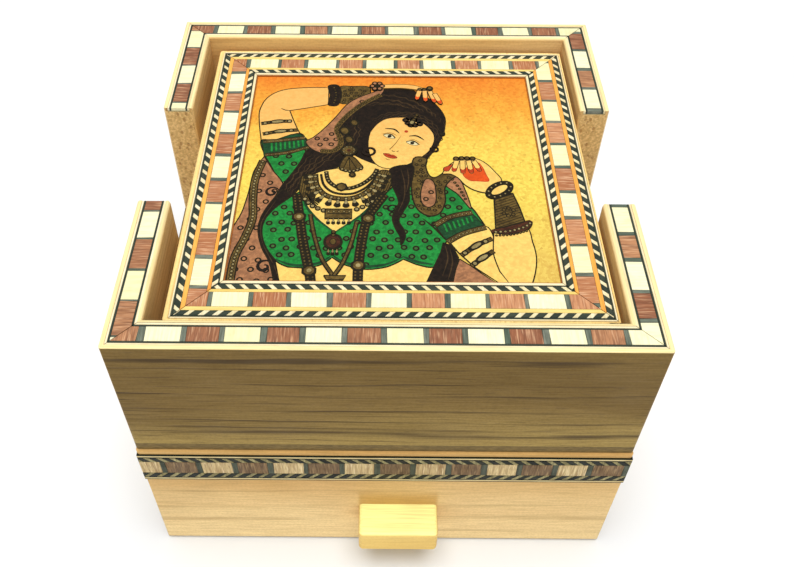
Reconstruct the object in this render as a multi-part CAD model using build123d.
from build123d import *
import os

# Inlaid wooden coaster box: a square tray with mitred walls and two finger notches holds a
# stack of coasters, and a drawer slides under the tray's deck board.
# Frame: the origin is the centre of the case's footprint, on the surface it stands on.
# +Z is up, and the drawer opens towards -Y.

# ---- Driving dimensions, mm ----
CASE_SIDE = 114.0            # outer width and depth of the case
CASE_HEIGHT = 84.5           # up to the tray's rim
WALL = 7.5                   # thickness of every case wall
BOTTOM_THICKNESS = 3.0       # the case's own floor
DECK_BOTTOM = 45.6           # underside of the board between drawer and tray
DECK_THICKNESS = 2.4
CORNER_ROUND = 0.8           # the case's four upright corners, sanded

NOTCH_FRONT = -15.6          # the finger notches' two ends along Y
NOTCH_BACK = 17.9
NOTCH_EDGE_CHAMFER = 0.4
RIM_OUTER_ROUND = 0.3
RIM_INNER_ROUND = 0.8

RIM_INLAY_INSET = 1.0        # plain wood left outside the rim's inlay strip
RIM_INLAY_WIDTH = 5.6
INLAY_DEPTH = 1.2            # groove depth of rim and drawer inlay

DRAWER_FRONT_FACE = -57.6    # just proud of the tray's front
DRAWER_FRONT_THICKNESS = 8.0
DRAWER_FRONT_BOTTOM = 0.5
DRAWER_FRONT_TOP = 45.2
DRAWER_FRONT_ROUND = 0.8
DRAWER_GAP = 0.4             # running gap under, behind and in front of the drawer
DRAWER_SIDE_GAP = 0.5
DRAWER_BOARD = 5.0           # drawer sides and back
DRAWER_BOTTOM_THICKNESS = 3.0
DRAWER_BOX_HEIGHT = 38.0
DRAWER_BACK_GAP = 1.0

BAND_BOTTOM = 32.9           # inlay band across the drawer front
BAND_TOP = 44.1
BAND_PROUD = 0.4

PULL_WIDTH = 19.4
PULL_HEIGHT = 8.8
PULL_REACH = 8.0
PULL_CENTRE_X = 3.6
PULL_BOTTOM = 11.4
PULL_ROUND = 1.1

COASTER_COUNT = 6
COASTER_SIDE = 95.2
COASTER_THICKNESS = 5.5
COASTER_GAP = 0.05           # air between two coasters
COASTER_CENTRE_X = 1.0       # the stack stands a little to the right in the tray
COASTER_CORNER_ROUND = 0.8
COASTER_FOOT_ROUND = 0.5     # round along the lower edge of a coaster
BORDER_SIDE = 93.6           # outer side of the inlay border
BORDER_CENTRE_X = 1.4        # the border isn't quite central on its coaster
BORDER_WIDTH = 10.2
BORDER_THICKNESS = 1.8
PICTURE_THICKNESS = 1.2      # the picture lies below the border's top

# ---- Dimensions that follow ----
HALF = CASE_SIDE / 2
INNER_HALF = HALF - WALL
TRAY_FLOOR = DECK_BOTTOM + DECK_THICKNESS
DRAWER_BACK_OF_FRONT = DRAWER_FRONT_FACE + DRAWER_FRONT_THICKNESS
CARCASS_FRONT = DRAWER_BACK_OF_FRONT + DRAWER_GAP
DRAWER_HALF_WIDTH = INNER_HALF - DRAWER_SIDE_GAP
DRAWER_INNER_HALF = DRAWER_HALF_WIDTH - DRAWER_BOARD
DRAWER_FLOOR = BOTTOM_THICKNESS + DRAWER_GAP
DRAWER_REAR = INNER_HALF - DRAWER_BACK_GAP
COASTER_PITCH = COASTER_THICKNESS + COASTER_GAP

# Turning the front wall about Z makes the other three.
FRONT, RIGHT, BACK, LEFT = 0, 90, 180, -90


def board(x_range, y_range, z_range):
    """A square-cut board between two opposite corners."""
    corner = Pos(x_range[0], y_range[0], z_range[0])
    size = (x_range[1] - x_range[0], y_range[1] - y_range[0], z_range[1] - z_range[0])
    return corner * Box(*size, align=(Align.MIN, Align.MIN, Align.MIN))


def square_frame_side(half, width, z_range):
    """The front member of a square frame, as a prism mitred at 45 degrees at both ends."""
    outline = Polyline(
        (-half, -half),
        (half, -half),
        (half - width, width - half),
        (width - half, width - half),
        close=True,
    )
    bottom, top = z_range
    return extrude(Pos(0, 0, bottom) * make_face(outline), top - bottom)


def rounded_column(z_range):
    """The case's outer envelope, with its upright corners sanded round."""
    bottom, top = z_range
    return extrude(Pos(0, 0, bottom) * RectangleRounded(CASE_SIDE, CASE_SIDE, CORNER_ROUND), top - bottom)


def long_top_edges(solid):
    """The edges along X at the top of a board, from -Y to +Y."""
    return solid.edges().filter_by(Axis.X).group_by(Axis.Z)[-1].sort_by(Axis.Y)


# ---- Tray ----
def inlay_strip(x_range, extra_height=0):
    """The rim inlay's strip between two places along the front wall, or the groove it lies in."""
    y_outer = RIM_INLAY_INSET - HALF
    z_range = (CASE_HEIGHT - INLAY_DEPTH, CASE_HEIGHT + extra_height)
    return board(x_range, (y_outer, y_outer + RIM_INLAY_WIDTH), z_range)


def tray_wall(x_range):
    """A length of tray wall, drawn as the front wall, grooved for its inlay and mitred."""
    z_range = (TRAY_FLOOR, CASE_HEIGHT)
    wall = board(x_range, (-HALF, -INNER_HALF), z_range)
    for x, end in ((x_range[0], 0), (x_range[1], -1)):
        if abs(x) < HALF:
            notch_face = wall.faces().sort_by(Axis.X)[end]
            wall = chamfer(notch_face.edges().filter_by(Axis.Z), NOTCH_EDGE_CHAMFER)
    wall = fillet(long_top_edges(wall)[-1], RIM_INNER_ROUND)
    wall = fillet(long_top_edges(wall)[0], RIM_OUTER_ROUND)
    wall = wall & square_frame_side(HALF, WALL, z_range) & rounded_column(z_range)
    return wall - inlay_strip((-CASE_SIDE, CASE_SIDE), extra_height=1)


def rim_inlay(x_range):
    return inlay_strip(x_range) & square_frame_side(HALF, WALL, (TRAY_FLOOR, CASE_HEIGHT))


def tray():
    """Front and back walls, and four side walls that stop at the finger notches."""
    # A length along a turned wall runs with +Y on the right side and with -Y on the left.
    lengths = {
        "front": (FRONT, (-HALF, HALF)),
        "back": (BACK, (-HALF, HALF)),
        "right_front": (RIGHT, (-HALF, NOTCH_FRONT)),
        "right_back": (RIGHT, (NOTCH_BACK, HALF)),
        "left_front": (LEFT, (-NOTCH_FRONT, HALF)),
        "left_back": (LEFT, (-HALF, -NOTCH_BACK)),
    }
    pieces = {}
    for place, (angle, x_range) in lengths.items():
        pieces[f"tray_wall_{place}"] = Rot(0, 0, angle) * tray_wall(x_range)
        pieces[f"rim_inlay_{place}"] = Rot(0, 0, angle) * rim_inlay(x_range)
    return pieces


# ---- Case under the tray ----
def carcass():
    """Deck, floor and the three walls that the drawer slides between."""
    wall_z = (BOTTOM_THICKNESS, DECK_BOTTOM)
    depth = (CARCASS_FRONT, HALF)
    column = rounded_column((0, CASE_HEIGHT))
    boards = {
        "deck_board": board((-HALF, HALF), (-HALF, HALF), (DECK_BOTTOM, TRAY_FLOOR)),
        "case_bottom_board": board((-HALF, HALF), depth, (0, BOTTOM_THICKNESS)),
        "case_left_wall": board((-HALF, -INNER_HALF), depth, wall_z),
        "case_right_wall": board((INNER_HALF, HALF), depth, wall_z),
        "case_back_wall": board((-INNER_HALF, INNER_HALF), (INNER_HALF, HALF), wall_z),
    }
    return {name: solid & column for name, solid in boards.items()}


# ---- Drawer ----
def drawer_front():
    """The full-width front, rounded at its ends and foot, with a rebate for the inlay band."""
    front = board(
        (-HALF, HALF),
        (DRAWER_FRONT_FACE, DRAWER_BACK_OF_FRONT),
        (DRAWER_FRONT_BOTTOM, DRAWER_FRONT_TOP),
    )
    face_edges = front.faces().sort_by(Axis.Y)[0].edges()
    front = fillet(face_edges.filter_by(Axis.Z) + face_edges.sort_by(Axis.Z)[:1], DRAWER_FRONT_ROUND)
    rebate = board(
        (-CASE_SIDE, CASE_SIDE),
        (DRAWER_FRONT_FACE - 1, DRAWER_FRONT_FACE + INLAY_DEPTH - BAND_PROUD),
        (BAND_BOTTOM, BAND_TOP),
    )
    return front - rebate


def drawer_pull():
    """A small block glued to the drawer front, with every free edge rounded."""
    left = PULL_CENTRE_X - PULL_WIDTH / 2
    block = board(
        (left, left + PULL_WIDTH),
        (DRAWER_FRONT_FACE - PULL_REACH, DRAWER_FRONT_FACE),
        (PULL_BOTTOM, PULL_BOTTOM + PULL_HEIGHT),
    )
    glued_edges = block.faces().sort_by(Axis.Y)[-1].edges()
    free_edges = [edge for edge in block.edges() if edge not in glued_edges]
    return fillet(free_edges, PULL_ROUND)


def drawer():
    """Front, box boards, pull and inlay band, all in one sliding body."""
    side_z = (DRAWER_FLOOR, DRAWER_FLOOR + DRAWER_BOX_HEIGHT)
    depth = (DRAWER_BACK_OF_FRONT, DRAWER_REAR)
    inner_width = (-DRAWER_INNER_HALF, DRAWER_INNER_HALF)
    back_face = DRAWER_REAR - DRAWER_BOARD
    bottom_z = (DRAWER_FLOOR, DRAWER_FLOOR + DRAWER_BOTTOM_THICKNESS)
    band_face = DRAWER_FRONT_FACE - BAND_PROUD
    return {
        "drawer_front": drawer_front(),
        "drawer_left_side": board((-DRAWER_HALF_WIDTH, -DRAWER_INNER_HALF), depth, side_z),
        "drawer_right_side": board((DRAWER_INNER_HALF, DRAWER_HALF_WIDTH), depth, side_z),
        "drawer_back": board(inner_width, (back_face, DRAWER_REAR), side_z),
        "drawer_bottom": board(inner_width, (DRAWER_BACK_OF_FRONT, back_face), bottom_z),
        "drawer_pull": drawer_pull(),
        "drawer_band_inlay": board((-HALF, HALF), (band_face, band_face + INLAY_DEPTH), (BAND_BOTTOM, BAND_TOP)),
    }


# ---- Coasters ----
def coaster(number):
    """One coaster of the stack: a board with a shallow tray for its border and its picture."""
    bottom = TRAY_FLOOR + COASTER_GAP + (number - 1) * COASTER_PITCH
    top = bottom + COASTER_THICKNESS
    pocket_floor = top - BORDER_THICKNESS
    blank = RectangleRounded(COASTER_SIDE, COASTER_SIDE, COASTER_CORNER_ROUND)
    base = extrude(Pos(COASTER_CENTRE_X, 0, bottom) * blank, COASTER_THICKNESS)
    base = fillet(base.edges().group_by(Axis.Z)[0], COASTER_FOOT_ROUND)
    border_centre = Pos(BORDER_CENTRE_X, 0, pocket_floor)
    pocket = extrude(border_centre * Rectangle(BORDER_SIDE, BORDER_SIDE), BORDER_THICKNESS)
    picture_side = BORDER_SIDE - 2 * BORDER_WIDTH
    picture = extrude(border_centre * Rectangle(picture_side, picture_side), PICTURE_THICKNESS)
    strip = square_frame_side(BORDER_SIDE / 2, BORDER_WIDTH, (0, BORDER_THICKNESS))
    pieces = {
        f"coaster_{number}_base": base - pocket,
        f"coaster_{number}_picture": picture,
    }
    for place, angle in (("front", FRONT), ("right", RIGHT), ("back", BACK), ("left", LEFT)):
        pieces[f"coaster_{number}_border_{place}"] = border_centre * Rot(0, 0, angle) * strip
    return pieces


# ---- The whole box ----
nodes = tray() | carcass() | drawer()
for coaster_number in range(1, COASTER_COUNT + 1):
    nodes |= coaster(coaster_number)

os.makedirs("parts", exist_ok=True)
for node_name, node_solid in nodes.items():
    export_step(node_solid, f"parts/{node_name}.step")
